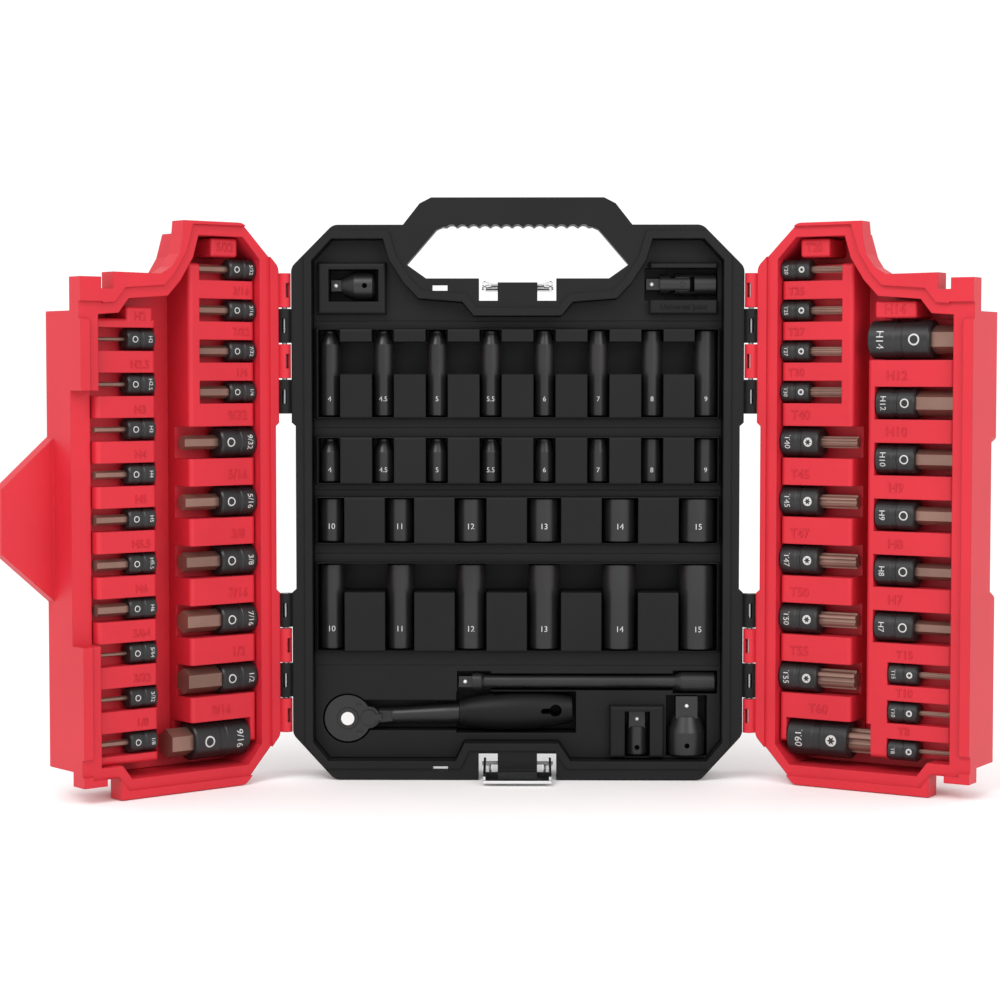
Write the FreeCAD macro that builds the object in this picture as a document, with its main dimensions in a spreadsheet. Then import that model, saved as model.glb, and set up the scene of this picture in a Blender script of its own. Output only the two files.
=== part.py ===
import FreeCAD, Part
import Sketcher
import os
import re

# Socket wrench set in a folding case.
# Frame: +Z up, X to the right, the rim plane of the centre tray is Y = 0 and its back is at +Y.
# The tray stands on its feet at Z = 0. The doors are drawn closed, over Y < 0, and then placed open.

V = FreeCAD.Vector
doc = FreeCAD.newDocument("SocketSet")
sheet = doc.addObject("Spreadsheet::Sheet", "Dims")

# Driving dimensions in millimetres and degrees.
DIMS = {
    "tray_half": 131.3, "waist_half": 129.0, "case_top": 323.5, "corner_x": 107.0, "corner_low": 26.5,
    "corner_high": 299.0, "corner_round": 7.0, "waist_low": 112.0, "waist_high": 209.0, "handle_top": 339.2, "handle_x": 50.0,
    "flange_depth": 12.0, "rim_gap": 0.2, "tray_depth": 41.0, "wall": 2.0, "handle_depth": 21.0,
    "cavity_x": 119.5, "cavity_low": 11.0, "cavity_top": 315.5, "tongue_wide": 4.5, "tongue_proud": 1.4,
    "hinge_x": 135.2, "knuckle_rad": 3.65, "knuckle_long": 19.7, "knuckle_pitch": 20.5,
    "hinge_low": 28.3, "hinge_high": 214.2, "hinge_pin_rad": 1.5, "pin_play": 0.05,
    "left_open": 139.3, "right_open": 149.0, "free_edge": 0.3, "free_wall": 12.5, "door_depth": 41.0,
    "overlap_long": 32.0, "overlap_thick": 10.0, "overlap_low": 109.0, "overlap_high": 203.0,
    "ridge_level": 4.5, "shelf_level": 11.0, "insert_gap": 0.3, "channel_level": 29.0,
    "small_axis": 15.0, "large_axis": 15.6, "seat_play": 1.0,
    "row_pitch": 31.4, "row_gap": 25.6, "first_large_x": -109.2,
    "deep_small_z": 212.5, "short_small_z": 174.0, "short_large_z": 138.9, "deep_large_z": 75.7,
    "deep_long": 50.0, "short_long": 25.4, "drive_end_dia": 11.9, "quarter_square": 6.35,
    "bit_top": 5.0, "hinge_base": 16.1, "large_base": 21.5, "free_tip": 121.0, "hinge_first_z": 297.0,
    "free_first_z": 256.5, "hinge_step": 1.95, "right_step": 1.81, "left_step": 25.1,
    "door_shelf": 6.5, "door_floor": 30.0,
    "latch_y": 9.0, "top_latch_z": 287.0, "low_latch_z": 8.5, "latch_throw": 4.0, "latch_rise": 2.4,
    "latch_ear_rad": 1.9, "latch_ear_x": 18.4, "latch_plate_from": 16.4, "latch_plate_to": 31.0, "latch_thick": 1.4,
    "latch_pin_rad": 1.0, "bail_rad": 1.0, "bail_x": 16.0, "bail_long": 18.64, "low_latch_dip": 12.0,
    "ratchet_x": -100.0, "ratchet_y": 18.0, "ratchet_z": 34.4, "ratchet_tilt": 2.3, "head_rad": 13.7,
    "gear_rad": 9.4, "gear_teeth": 36.0, "grip_from": 66.0, "grip_to": 132.4, "grip_rad": 11.5,
    "bar_left": -34.5, "bar_right": 116.4, "bar_z": 56.2, "bar_rad": 4.0, "bar_end_rad": 6.1,
    "swivel_x": 96.0, "swivel_z": 289.4, "swivel_rad": 6.4, "swivel_from": 115.5, "swivel_to": 75.0,
    "reducer_x": -109.0, "reducer_z": 288.6, "reducer_rad": 8.4, "reducer_long": 19.0,
    "small_adapter_x": 70.3, "small_adapter_rad": 6.4,
    "large_adapter_x": 99.4, "large_adapter_rad": 11.0,
}
for row, (alias, value) in enumerate(DIMS.items(), 1):
    sheet.set("A%d" % row, alias)
    sheet.set("B%d" % row, str(value))
    sheet.setAlias("B%d" % row, alias)
doc.recompute()


def ref(text):
    """Writes a formula of dimension names as one that reads the sheet."""
    return re.sub(r"[a-z][a-z_]+(?![a-z_(])", lambda found: "Dims." + found.group(0), str(text))


def num(text):
    return float(sheet.evalExpression(ref(text)))


def named(kind, name):
    thing = doc.addObject(kind, name)
    thing.Label = name
    return thing


def move(thing, x, y, z, turn=None):
    if turn:
        thing.Placement = FreeCAD.Placement(V(0, 0, 0), turn)
    for axis, value in zip("xyz", (x, y, z)):
        thing.setExpression(".Placement.Base." + axis, ref(value))
    return thing


TO_X = FreeCAD.Rotation(V(0, 1, 0), 90)
TO_LEFT = FreeCAD.Rotation(V(0, 1, 0), -90)
TO_Y = FreeCAD.Rotation(V(1, 0, 0), -90)
UPRIGHT = FreeCAD.Rotation(V(1, 0, 0), 90)


def box(name, corner, size):
    made = named("Part::Box", name)
    for prop, value in zip(("Length", "Width", "Height"), size):
        made.setExpression(prop, ref(value))
    return move(made, *corner)


def rod(name, radius, length, at, turn=None):
    made = named("Part::Cylinder", name)
    made.setExpression("Radius", ref(radius))
    made.setExpression("Height", ref(length))
    return move(made, *at, turn=turn)


def prism(name, sides, circumradius, length, at, turn=None):
    made = named("Part::Prism", name)
    made.Polygon = sides
    made.setExpression("Circumradius", ref(circumradius))
    made.setExpression("Height", ref(length))
    return move(made, *at, turn=turn)


def fuse(name, things):
    made = named("Part::MultiFuse", name)
    made.Shapes = things
    made.Refine = True
    return made


def cut(name, base, tools):
    made = named("Part::Cut", name)
    made.Base = base
    made.Tool = tools[0] if len(tools) == 1 else fuse(name + "_tools", tools)
    made.Refine = True
    return made


def group(name, things):
    made = named("Part::Compound", name)
    made.Links = things
    return made


def outline(name, points):
    """A closed sketch on the XZ plane whose corners are bound to the sheet."""
    sketch = named("Sketcher::SketchObject", name)
    sketch.Placement = FreeCAD.Placement(V(0, 0, 0), UPRIGHT)
    places = [V(num(x), num(z), 0) for x, z in points]
    count = len(places)
    for i in range(count):
        sketch.addGeometry(Part.LineSegment(places[i], places[(i + 1) % count]))
    for i in range(count):
        sketch.addConstraint(Sketcher.Constraint("Coincident", i, 2, (i + 1) % count, 1))
    for i, (x, z) in enumerate(points):
        for kind, formula, value in (("DistanceX", x, places[i].x), ("DistanceY", z, places[i].y)):
            index = sketch.addConstraint(Sketcher.Constraint(kind, -1, 1, i, 1, value))
            sketch.setExpression("Constraints[%d]" % index, ref(formula))
    return sketch


def extrude(name, sketch, start, length):
    """Pads a sketch along Y from a start depth; a negative length goes towards -Y."""
    made = named("Part::Extrusion", name)
    made.Base = sketch
    made.DirMode = "Custom"
    made.Dir = V(0, 1, 0)
    made.setExpression("LengthFwd", ref(length))
    made.Solid = True
    return move(made, "0", start, "0")


def grown(name, sketch, distance):
    made = named("Part::Offset2D", name)
    made.Source = sketch
    made.Join = "Intersection"
    made.setExpression("Value", ref(distance))
    return made


def revolve(name, points, at=None, turn=None):
    """Turns a half profile of (radius, height) corners round the Z axis."""
    made = named("Part::Revolution", name)
    made.Source = outline(name + "_profile", points)
    made.Axis = V(0, 0, 1)
    made.Base = V(0, 0, 0)
    made.Angle = 360
    made.Solid = True
    if at:
        move(made, *at, turn=turn)
    return made


def rounded(name, base, radius, chosen):
    """Rounds the edges that the test picks out."""
    doc.recompute()
    made = named("Part::Fillet", name)
    made.Base = base
    size = num(radius)
    edges = [(i, size, size) for i, edge in enumerate(base.Shape.Edges, 1) if chosen(edge.BoundBox)]
    made.Edges = edges
    return made


def at_depth(depth):
    return lambda b: abs(b.YMin - depth) < 0.01 and abs(b.YMax - depth) < 0.01


def at_corners(*corners):
    """Picks out the edges along Y that stand on the given corners of an outline, on either side."""
    places = [(num(x), num(z)) for x, z in corners]

    def chosen(b):
        if b.XLength > 0.01 or b.ZLength > 0.01:
            return False
        return any(abs(abs(b.XMin) - x) < 0.01 and abs(b.ZMin - z) < 0.01 for x, z in places)
    return chosen


CASE_CORNERS = (("corner_x", "0"), ("tray_half", "corner_low"), ("tray_half", "corner_high"), ("corner_x", "case_top"))


def mirrored(points):
    """A right half outline, from its lowest middle point round to its highest, made whole."""
    return points + [("-(%s)" % x, z) for x, z in reversed(points)]


def swing(thing, side):
    """Places a door piece open about its hinge."""
    angle = "left_open" if side < 0 else "right_open"
    formula = "placement(vector(0; 0; 0); rotation(vector(0; 0; 1); %d * %s); vector(%d * %s; 0; 0))"
    thing.setExpression("Placement", formula % (side, ref(angle), side, ref("hinge_x")))
    return thing


# Hinge knuckles: four to a hinge, shared in turn by the tray and the door.
DOOR_KNUCKLES = {"hinge_high": (1, 3), "hinge_low": (0, 2)}


def knuckles(name, side, of_door):
    """Barrels, webs and pin windows of one side; the web lies on the owner's side of the rim plane."""
    barrels = []
    bores = []
    for hinge, door_places in DOOR_KNUCKLES.items():
        for place in range(4):
            if (place in door_places) != of_door:
                continue
            tag = "%s_%s_%d" % (name, hinge, place)
            low = "%s + %d * knuckle_pitch" % (hinge, place)
            barrels.append(rod(tag, "knuckle_rad", "knuckle_long", ("%d * hinge_x" % side, "0", low)))
            web_x = "hinge_x - 4.4" if side > 0 else "-hinge_x"
            web_y = "-knuckle_rad" if of_door else "2 * rim_gap"
            web = ("4.4", "knuckle_rad - 2 * rim_gap", "knuckle_long")
            barrels.append(box(tag + "_web", (web_x, web_y, low), web))
            window_y = "1" if of_door else "-6"
            window = ("2.6", "5", "knuckle_long * 0.42")
            bores.append(box(tag + "_window", ("%d * hinge_x - 1.3" % side, window_y,
                                               low + " + knuckle_long * 0.29"), window))
        bore_at = ("%d * hinge_x" % side, "0", hinge + " - 2")
        bores.append(rod("%s_%s_bore" % (name, hinge), "hinge_pin_rad + pin_play",
                         "4 * knuckle_pitch + 4", bore_at))
    return barrels, bores


# Centre tray: a thick flange with a carry handle, a tub behind it and a tongue round the opening.
flange_right = [
    ("11.5", "9.8"), ("11.5", "15.4"), ("22.8", "15.4"), ("22.8", "0"), ("corner_x", "0"),
    ("tray_half", "corner_low"), ("tray_half", "waist_low - 2"), ("waist_half", "waist_low"),
    ("waist_half", "waist_high - 2"), ("tray_half", "waist_high"), ("tray_half", "corner_high"),
    ("corner_x", "case_top"), ("handle_x + 16.4", "case_top"), ("handle_x + 6.7", "handle_top - 3.4"),
    ("handle_x", "handle_top"),
]
hand_gap_right = [
    ("11.5", "290.2"), ("11.5", "279.6"), ("22.5", "279.6"), ("22.5", "292.5"), ("53", "292.5"),
    ("64.3", "300.5"), ("47", "320.6"), ("43", "322.3"),
]
cavity_top_right = [
    ("cavity_x", "cavity_top - 12.5"), ("cavity_x - 11.5", "cavity_top"), ("78", "cavity_top"),
    ("74.3", "303"), ("66", "290"), ("57.5", "281"), ("32", "279"), ("25.5", "271"),
]
cavity_all = [
    ("-31", "21.5"), ("24", "21.5"), ("31", "cavity_low"), ("cavity_x - 9", "cavity_low"),
    ("cavity_x", "cavity_low + 11"),
] + cavity_top_right + [("-(%s)" % x, z) for x, z in reversed(cavity_top_right)] + [
    ("-cavity_x", "cavity_low + 11"), ("-cavity_x + 9", "cavity_low"), ("-36", "cavity_low"),
]
tray_cavity = outline("tray_cavity_outline", cavity_all)
tray_flange = extrude("tray_flange", outline("tray_flange_outline", mirrored(flange_right)),
                      "rim_gap", "flange_depth - rim_gap")
tray_flange_round = rounded("tray_flange_round", tray_flange, "corner_round", at_corners(*CASE_CORNERS))
tray_tub = extrude("tray_tub", grown("tray_tub_outline", tray_cavity, "wall"),
                   "flange_depth - 3", "tray_depth - flange_depth + 3")
tray_tub_round = rounded("tray_tub_round", tray_tub, "4", at_depth(num("tray_depth")))
tray_tongue = extrude("tray_tongue", grown("tray_tongue_outline", tray_cavity, "tongue_wide"),
                      "rim_gap - tongue_proud", "tongue_proud + 3")
handle_bar = extrude("handle_bar", outline("handle_bar_outline", [
    ("-handle_x - 4", "handle_top - 10"), ("-43", "322.3"), ("43", "322.3"), ("handle_x + 4", "handle_top - 10"),
    ("handle_x + 4", "handle_top - 4"), ("handle_x", "handle_top"), ("-handle_x", "handle_top"),
    ("-handle_x - 4", "handle_top - 4")]), "rim_gap", "handle_depth")
handle_round = rounded("handle_round", handle_bar, "2.5", at_depth(num("rim_gap + handle_depth")))
tray_solids = [tray_flange_round, tray_tub_round, tray_tongue, handle_round]
tray_cuts = [
    extrude("tray_cavity", tray_cavity, "-3", "tray_depth - wall + 3"),
    extrude("hand_gap", outline("hand_gap_outline", mirrored(hand_gap_right)), "-2", "flange_depth + 4"),
]
# Finger scallops under the handle, and the two narrow slots of the flange's left half.
for finger in range(13):
    tray_cuts.append(rod("finger_%d" % finger, "3.4", "handle_depth + 4",
                         ("(%d - 6) * 6.4" % finger, "-1", "322.3 - 2"), TO_Y))
for slot, low in (("upper_slot", "285.4"), ("lower_slot", "4.6")):
    tray_cuts.append(box(slot, ("-49.6", "-2", low), ("9", "flange_depth + 4", "3.4")))
for side, word in ((-1, "left"), (1, "right")):
    barrels, bores = knuckles("tray_" + word, side, False)
    tray_solids += barrels
    tray_cuts += bores
for word in ("top", "low"):
    tray_cuts.append(rod(word + "_latch_bore", "latch_pin_rad", "60",
                         ("-30", "latch_y", word + "_latch_z"), TO_X))
# The lug that carries the lower latch's pin, with the middle foot under it.
tray_solids.append(box("low_lug", ("-11.5", "rim_gap", "0"), ("23", "flange_depth - rim_gap", "12.8")))
tray_solids.append(box("low_foot", ("-11.5", "-0.6", "0"), ("23", "flange_depth", "6")))
tray_shell = cut("tray_shell", fuse("tray_body", tray_solids), tray_cuts)

# Hinge pins, one to each hinge, and the latches' pins.
for side, word in ((-1, "left"), (1, "right")):
    pins = [rod("%s_%s_pin" % (word, hinge), "hinge_pin_rad", "4 * knuckle_pitch - 1",
                ("%d * hinge_x" % side, "0", hinge + " + 0.2")) for hinge in DOOR_KNUCKLES]
    group(word + "_hinge_pins", pins)
for word in ("top", "low"):
    name = ("top" if word == "top" else "bottom") + "_latch_pin"
    rod(name, "latch_pin_rad - 0.04", "41.6", ("-20.8", "latch_y", word + "_latch_z"), TO_X)


# Doors: mirror halves of the case, with a tub behind the flange and a rebate for the tray's tongue.
def door_outline(side):
    points = [
        ("free_edge", "9"), ("15", "9"), ("15", "12.8"), ("24", "12.8"), ("24", "0"), ("corner_x", "0"),
        ("tray_half", "corner_low"), ("tray_half", "waist_low - 2"), ("waist_half", "waist_low"),
        ("waist_half", "waist_high - 2"), ("tray_half", "waist_high"), ("tray_half", "corner_high"),
        ("corner_x", "case_top"), ("67", "case_top"), ("66", "314"), ("64", "304.6"), ("59", "297.4"),
        ("52", "293.2"), ("21", "293.5"), ("21", "284.2"), ("13.5", "284.2"), ("13.5", "290.5"),
        ("free_edge", "290.5"),
    ]
    return [("%d * (%s)" % (side, x), z) for x, z in points]


def door_cavity(side):
    points = [
        ("free_wall", "19"), ("26", "19"), ("32", "cavity_low"), ("cavity_x - 9", "cavity_low"),
        ("cavity_x", "cavity_low + 11"),
    ] + cavity_top_right + [("free_wall", "270")]
    return [("%d * (%s)" % (side, x), z) for x, z in points]


def overlap_points(side, spare):
    """The tapered tab of the left door, or the recess that takes it."""
    reach = "(overlap_long + %s)" % spare
    low = "overlap_low - %s" % spare
    high = "overlap_high + %s" % spare
    return [("%d * 2" % side, low), (reach, low + " + 29"), (reach, high + " - 29"), ("%d * 2" % side, high)]


for side, word in ((-1, "left"), (1, "right")):
    name = word + "_door"
    opening = outline(name + "_cavity_outline", door_cavity(side))
    flange_blank = extrude(name + "_flange_blank", outline(name + "_outline", door_outline(side)),
                           "-rim_gap", "-(flange_depth)")
    flange = rounded(name + "_flange", flange_blank, "corner_round", at_corners(*CASE_CORNERS))
    tub = extrude(name + "_tub", grown(name + "_tub_outline", opening, "wall"), "-6", "-(door_depth - 6)")
    edge_x = "free_edge" if side > 0 else "-free_wall"
    edge_wall = box(name + "_edge_wall", (edge_x, "-door_depth", "17"),
                    ("free_wall - free_edge", "door_depth - 6", "255"))
    tub_all = fuse(name + "_tub_all", [tub, edge_wall])
    tub_round = rounded(name + "_tub_round", tub_all, "4", at_depth(-num("door_depth")))
    barrels, bores = knuckles(name, side, True)
    rebate = extrude(name + "_rebate", grown(name + "_rebate_outline", opening, "tongue_wide + 1.6"),
                     "1", "-(tongue_proud + 1.8)")
    hollow = extrude(name + "_cavity", opening, "1", "-(door_depth - wall + 1)")
    edge_from = "0" if side > 0 else "-free_wall - 2"
    crossings = [box("%s_crossing_%d" % (name, i), (edge_from, "-(tongue_proud + 0.8)", low),
                     ("free_wall + 2", "4", "9.5")) for i, low in enumerate(("15", "267.5"))]
    if side < 0:
        dip = box("left_edge_dip", ("-free_wall - 6", "-11.7", "87"), ("free_wall + 8", "14", "141"))
        body = cut(name + "_open", fuse(name + "_body", [flange, tub_round] + barrels),
                   [rebate, hollow, dip] + crossings + bores)
        tab_outline = outline("overlap_outline", overlap_points(-1, "0"))
        tab = extrude("overlap_tab", tab_outline, "-(door_depth)", "overlap_thick")
        tab_round = rounded("overlap_round", tab, "2", at_depth(-num("door_depth")))
        shell = fuse(name + "_shell", [body, tab_round])
    else:
        body = cut(name + "_open", fuse(name + "_body", [flange, tub_round] + barrels),
                   [rebate, hollow] + crossings + bores)
        floor_x = "free_edge + 4"
        boss = box("recess_back", (floor_x, "-door_depth", "overlap_low - 6"),
                   ("overlap_long + 3", "overlap_thick + 2.4", "overlap_high - overlap_low + 12"))
        seat_outline = outline("recess_outline", overlap_points(-1, "0.6"))
        seat = extrude("recess", seat_outline, "-(door_depth + 1)", "overlap_thick + 1.5")
        shell = cut(name + "_shell", fuse(name + "_backed", [body, boss]), [seat])
    swing(shell, side)


# Sockets of the tray: hexagon up, square drive down.
def socket(name, size, drive_dia, nose_dia, length, x, z, axis):
    rim = "0.5"
    top = length
    nose_long = "1.5"
    points = [
        ("0", "0"), ("%s / 2 - 0.6" % drive_dia, "0"), ("%s / 2" % drive_dia, "0.6"),
        ("%s / 2" % drive_dia, "%s - %s - 6.5" % (top, nose_long)),
        ("%s / 2" % nose_dia, "%s - %s" % (top, nose_long)),
        ("%s / 2" % nose_dia, "%s - %s" % (top, rim)), ("%s / 2 - %s" % (nose_dia, rim), top), ("0", top),
    ]
    if drive_dia == nose_dia:
        del points[3:5]
    blank = revolve(name + "_blank", points)
    mouth = prism(name + "_hexagon", 6, "%s / 1.732" % size, "%s * 0.55" % top, ("0", "0", "%s * 0.5" % top))
    drive = box(name + "_square", ("-quarter_square / 2", "-quarter_square / 2", "-1"),
                ("quarter_square", "quarter_square", "9.5"))
    bore = rod(name + "_bore", "min(%s; quarter_square) * 0.42" % size, top, ("0", "0", "1"))
    return move(cut(name, blank, [mouth, drive, bore]), x, axis, z)


SMALL_SIZES = (4, 4.5, 5, 5.5, 6, 7, 8, 9)
SMALL_NOSES = (6.8, 7.3, 7.9, 8.5, 9.2, 10.4, 11.9, 12.9)
LARGE_SIZES = (10, 11, 12, 13, 14, 15)
LARGE_DIAS = (14.0, 15.2, 16.7, 18.0, 19.4, 20.8)

seats = []


def seat(name, x, z, width, length, axis, lying_dia):
    """A pocket for an upright tool; the tool rests on its flat floor."""
    return box(name, ("%s - (%s) / 2" % (x, width), "-1", z),
               (width, "%s + %s / 2 + 1" % (axis, lying_dia), length))


def tag_of(size):
    return ("%g" % size).replace(".", "_")


for row, length, low in (("deep", "deep_long", "deep_small_z"), ("short", "short_long", "short_small_z")):
    made = []
    for i, (size, nose) in enumerate(zip(SMALL_SIZES, SMALL_NOSES)):
        name = "%s_socket_%s" % (row, tag_of(size))
        drive = "drive_end_dia" if nose < 12 else str(nose)
        nose_text = "drive_end_dia" if nose == 11.9 else str(nose)
        x = "(%d - 3.5) * row_pitch" % i
        made.append(socket(name, size, drive, nose_text, length, x, low, "small_axis"))
        seats.append(seat(name + "_seat", x, low + " - 0.6", drive + " + seat_play",
                          length + " + 1.2", "small_axis", drive))
    group(row + "_sockets_small", made)

for row, length, low in (("short", "short_long", "short_large_z"), ("deep", "deep_long", "deep_large_z")):
    x = "first_large_x"
    for i, (size, dia) in enumerate(zip(LARGE_SIZES, LARGE_DIAS)):
        name = "%s_socket_%s" % (row, tag_of(size))
        if i:
            x = x + " + row_gap + %g" % ((LARGE_DIAS[i - 1] + dia) / 2)
        socket(name, size, str(dia), str(dia), length, x, low, "large_axis")
        seats.append(seat(name + "_seat", x, low + " - 0.6", "%g + 2 * seat_play" % dia,
                          length + " + 1.2", "large_axis", str(dia)))

# Tray insert: ridges that hold the rows, lower shelves between them and deep finger channels.
insert_base = extrude("tray_insert_base", grown("tray_insert_outline", tray_cavity, "-insert_gap"),
                      "shelf_level", "tray_depth - wall - 0.1 - shelf_level")
ridges = []
ROWS = (("deep_small_z", "deep_long"), ("short_small_z", "short_long"),
        ("short_large_z", "short_long"), ("deep_large_z", "deep_long"))
for i, (low, length) in enumerate(ROWS):
    ridge = box("ridge_%d" % i, ("-cavity_x + 1.5", "ridge_level", low + " - 1.5"),
                ("2 * cavity_x - 3", "14", length + " + 3"))
    ridges.append(rounded("ridge_round_%d" % i, ridge, "2", at_depth(num("ridge_level"))))
plateau = box("adapter_plateau", ("54", "ridge_level", "cavity_low + 1"), ("32", "14", "31"))
ridges.append(rounded("plateau_round", plateau, "2", at_depth(num("ridge_level"))))
for i, x in enumerate(("-cavity_x + 3", "cavity_x - 43")):
    deck = box("deck_%d" % i, (x, "ridge_level", "272"), ("40", "14", "30"))
    ridges.append(rounded("deck_round_%d" % i, deck, "2", at_depth(num("ridge_level"))))
channels = [
    box("upper_channel", ("-cavity_x + 4", "-1", "237"), ("2 * cavity_x - 8", "channel_level + 1", "19")),
    box("lower_channel", ("-cavity_x + 4", "-1", "109.5"), ("2 * cavity_x - 8", "channel_level + 3", "17")),
]
tool_seats = [
    box("bar_seat", ("bar_left + 10", "-1", "bar_z - 5"),
        ("bar_right - bar_left - 20", "small_axis + bar_end_rad + 1", "10")),
    box("bar_seat_right", ("bar_right - 25", "-1", "bar_z - 6.8"), ("26", "small_axis + bar_end_rad + 1", "13.6")),
    box("bar_seat_left", ("bar_left - 1", "-1", "bar_z - 6.3"), ("20", "small_axis + bar_end_rad + 1", "12.6")),
    rod("head_seat", "head_rad + 1", "ratchet_y + 6.5 + 1", ("ratchet_x", "-1", "ratchet_z"), TO_Y),
    rod("drive_seat", "8", "ratchet_y + 18", ("ratchet_x", "-1", "ratchet_z"), TO_Y),
    box("neck_seat", ("ratchet_x + 10", "-1", "ratchet_z - 7"), ("58", "ratchet_y + 8", "18")),
    box("grip_seat", ("ratchet_x + grip_from - 2", "-1", "ratchet_z - 8.4"),
        ("grip_to - grip_from + 4", "ratchet_y + grip_rad + 1", "24.6")),
    box("swivel_seat", ("swivel_to - 1", "-1", "swivel_z - 9.4"),
        ("swivel_from - swivel_to + 2", "small_axis + swivel_rad + 1", "18.8")),
    box("swivel_room", ("swivel_x - 9", "-1", "swivel_z - 9.4"), ("18", "small_axis + 9.2", "18.8")),
    box("reducer_seat", ("reducer_x - 1", "-1", "reducer_z - 9.4"),
        ("reducer_long + 10", "small_axis + reducer_rad + 1", "18.8")),
    box("small_adapter_seat", ("small_adapter_x - 7.4", "-1", "cavity_low + 1.6"),
        ("14.8", "small_axis + small_adapter_rad + 1", "27")),
    box("large_adapter_seat", ("large_adapter_x - 12", "-1", "cavity_low + 1.6"),
        ("24", "small_axis + large_adapter_rad + 1", "35.9")),
]
insert_whole = cut("insert_whole", fuse("insert_body", [insert_base] + ridges), channels + tool_seats + seats)

# The insert is parted along the shelves between its rows.
INSERT_BANDS = (("tool_deck", "0", "66"), ("deep_large", "66", "132"), ("short_large", "132", "169.2"),
                ("short_small", "169.2", "205.7"), ("deep_small", "205.7", "268"), ("upper_deck", "268", "330"))
for word, low, high in INSERT_BANDS:
    band = named("Part::Common", "tray_insert_" + word)
    band.Base = insert_whole
    band.Tool = box(word + "_band", ("-130", "-5", low), ("260", "60", "%s - %s" % (high, low)))


# Bit sockets: a black body with a square drive and a hexagon or six-lobed bit.
CLASSES = {
    "small": ("12", 37, 17.5, "6.35"),
    "middle": ("17.5", 46, 23.5, "9.53"),
    "large": ("22", 51, 37, "12.7"),
}


def lobes(name, width, length, at, turn):
    """A six-lobed bar: a round bar with six hollow flanks."""
    flanks = []
    for i in range(6):
        angle = "(%d * 60 + 30)" % i
        at_flank = ("%s * 0.53 * cos(%s)" % (width, angle), "%s * 0.53 * sin(%s)" % (width, angle), "-1")
        flanks.append(rod("%s_flank_%d" % (name, i), width + " * 0.16", length + " + 2", at_flank))
    return move(cut(name, rod(name + "_bar", width + " / 2", length, ("0", "0", "0")), flanks), *at, turn=turn)


def bit_socket(name, size_class, width, lobed, side, base, z):
    """One bit socket lying with its drive end towards the hinge; base is measured from the hinge axis."""
    dia, length, body_long, square = CLASSES[size_class]
    axis = "-(bit_top + %s / 2)" % dia
    turn = TO_LEFT if side > 0 else TO_X
    start = "%d * (hinge_x - (%s))" % (side, base)
    blank = revolve(name + "_blank", [
        ("0", "0"), (dia + " / 2 - 0.7", "0"), (dia + " / 2", "0.7"), (dia + " / 2", "%g" % (body_long * 0.42)),
        (dia + " / 2 - 0.35", "%g" % (body_long * 0.42 + 0.4)), (dia + " / 2 - 0.35", "%g" % (body_long * 0.55)),
        (dia + " / 2", "%g" % (body_long * 0.55 + 0.4)), (dia + " / 2", "%g" % (body_long - 1)),
        (dia + " / 2 - 1", str(body_long)), ("0", str(body_long))])
    drive = box(name + "_square", ("-%s / 2" % square, "-%s / 2" % square, "-1"),
                (square, square, "%g" % (body_long * 0.42)))
    holder = move(cut(name + "_body", blank, [drive]), start, axis, z, turn)
    face = "%d * (hinge_x - (%s) - %g)" % (side, base, body_long)
    bit_long = "%g" % (length - body_long)
    if lobed:
        bit = lobes(name + "_bit", width, bit_long, (face, axis, z), turn)
    else:
        bit = prism(name + "_bit", 6, "%s / 1.732" % width, bit_long, (face, axis, z), turn)
    return holder, bit


LEFT_HINGE = [(c, w, False) for c, w in zip(["small"] * 4 + ["middle"] * 5 + ["large"],
              ("3.97", "4.76", "5.56", "6.35", "7.14", "7.94", "9.53", "11.1", "12.7", "14.3"))]
LEFT_FREE = [("small", w, False) for w in ("2", "2.5", "3", "4", "5", "5.5", "6", "1.98", "2.38", "3.18")]
RIGHT_HINGE = [(c, w, True) for c, w in zip(["small"] * 4 + ["middle"] * 5 + ["large"],
               ("3.95", "4.5", "5.1", "5.6", "6.75", "7.93", "8.6", "8.95", "11.35", "14.2"))]
RIGHT_FREE = [("large", "14", False)] + [("middle", w, False) for w in ("12", "10", "9", "8", "7")]
RIGHT_FREE += [("small", w, True) for w in ("3.35", "2.8", "2.4")]


def column(name, side, tools, by_hinge):
    """A column of bit sockets; returns the pockets that they lie in."""
    bodies = []
    bits = []
    pockets = []
    z = "hinge_first_z" if by_hinge else "free_first_z"
    for i, (size_class, width, lobed) in enumerate(tools):
        dia, length, body_long, square = CLASSES[size_class]
        if i and not by_hinge and side < 0:
            z = z + " - left_step"
        elif i:
            mean = (float(CLASSES[tools[i - 1][0]][0]) + float(dia)) / 2
            z = z + " - %s * %g" % ("hinge_step" if by_hinge else "right_step", mean)
        base = "hinge_base" if by_hinge else "free_tip - %d" % length
        height = z
        if by_hinge and size_class == "large":
            base = "large_base"
            height = z + " + 3.4"
        holder, bit = bit_socket("%s_%d" % (name, i), size_class, width, lobed, side, base, height)
        bodies.append(holder)
        bits.append(bit)
        far = "%s + %d + 1" % (base, length)
        left = "hinge_x - (%s)" % far if side > 0 else "-(hinge_x - (%s) + 0.6)" % base
        pockets.append(box("%s_%d_seat" % (name, i),
                           (left, "-(bit_top + %s)" % dia, "%s - %s / 2 - 0.5" % (height, dia)),
                           ("%d + 1.6" % length, "bit_top + %s + 2" % dia, dia + " + 1")))
    swing(group(name + "_bodies", bodies), side)
    swing(group(name + "_bits", bits), side)
    return pockets


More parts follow.
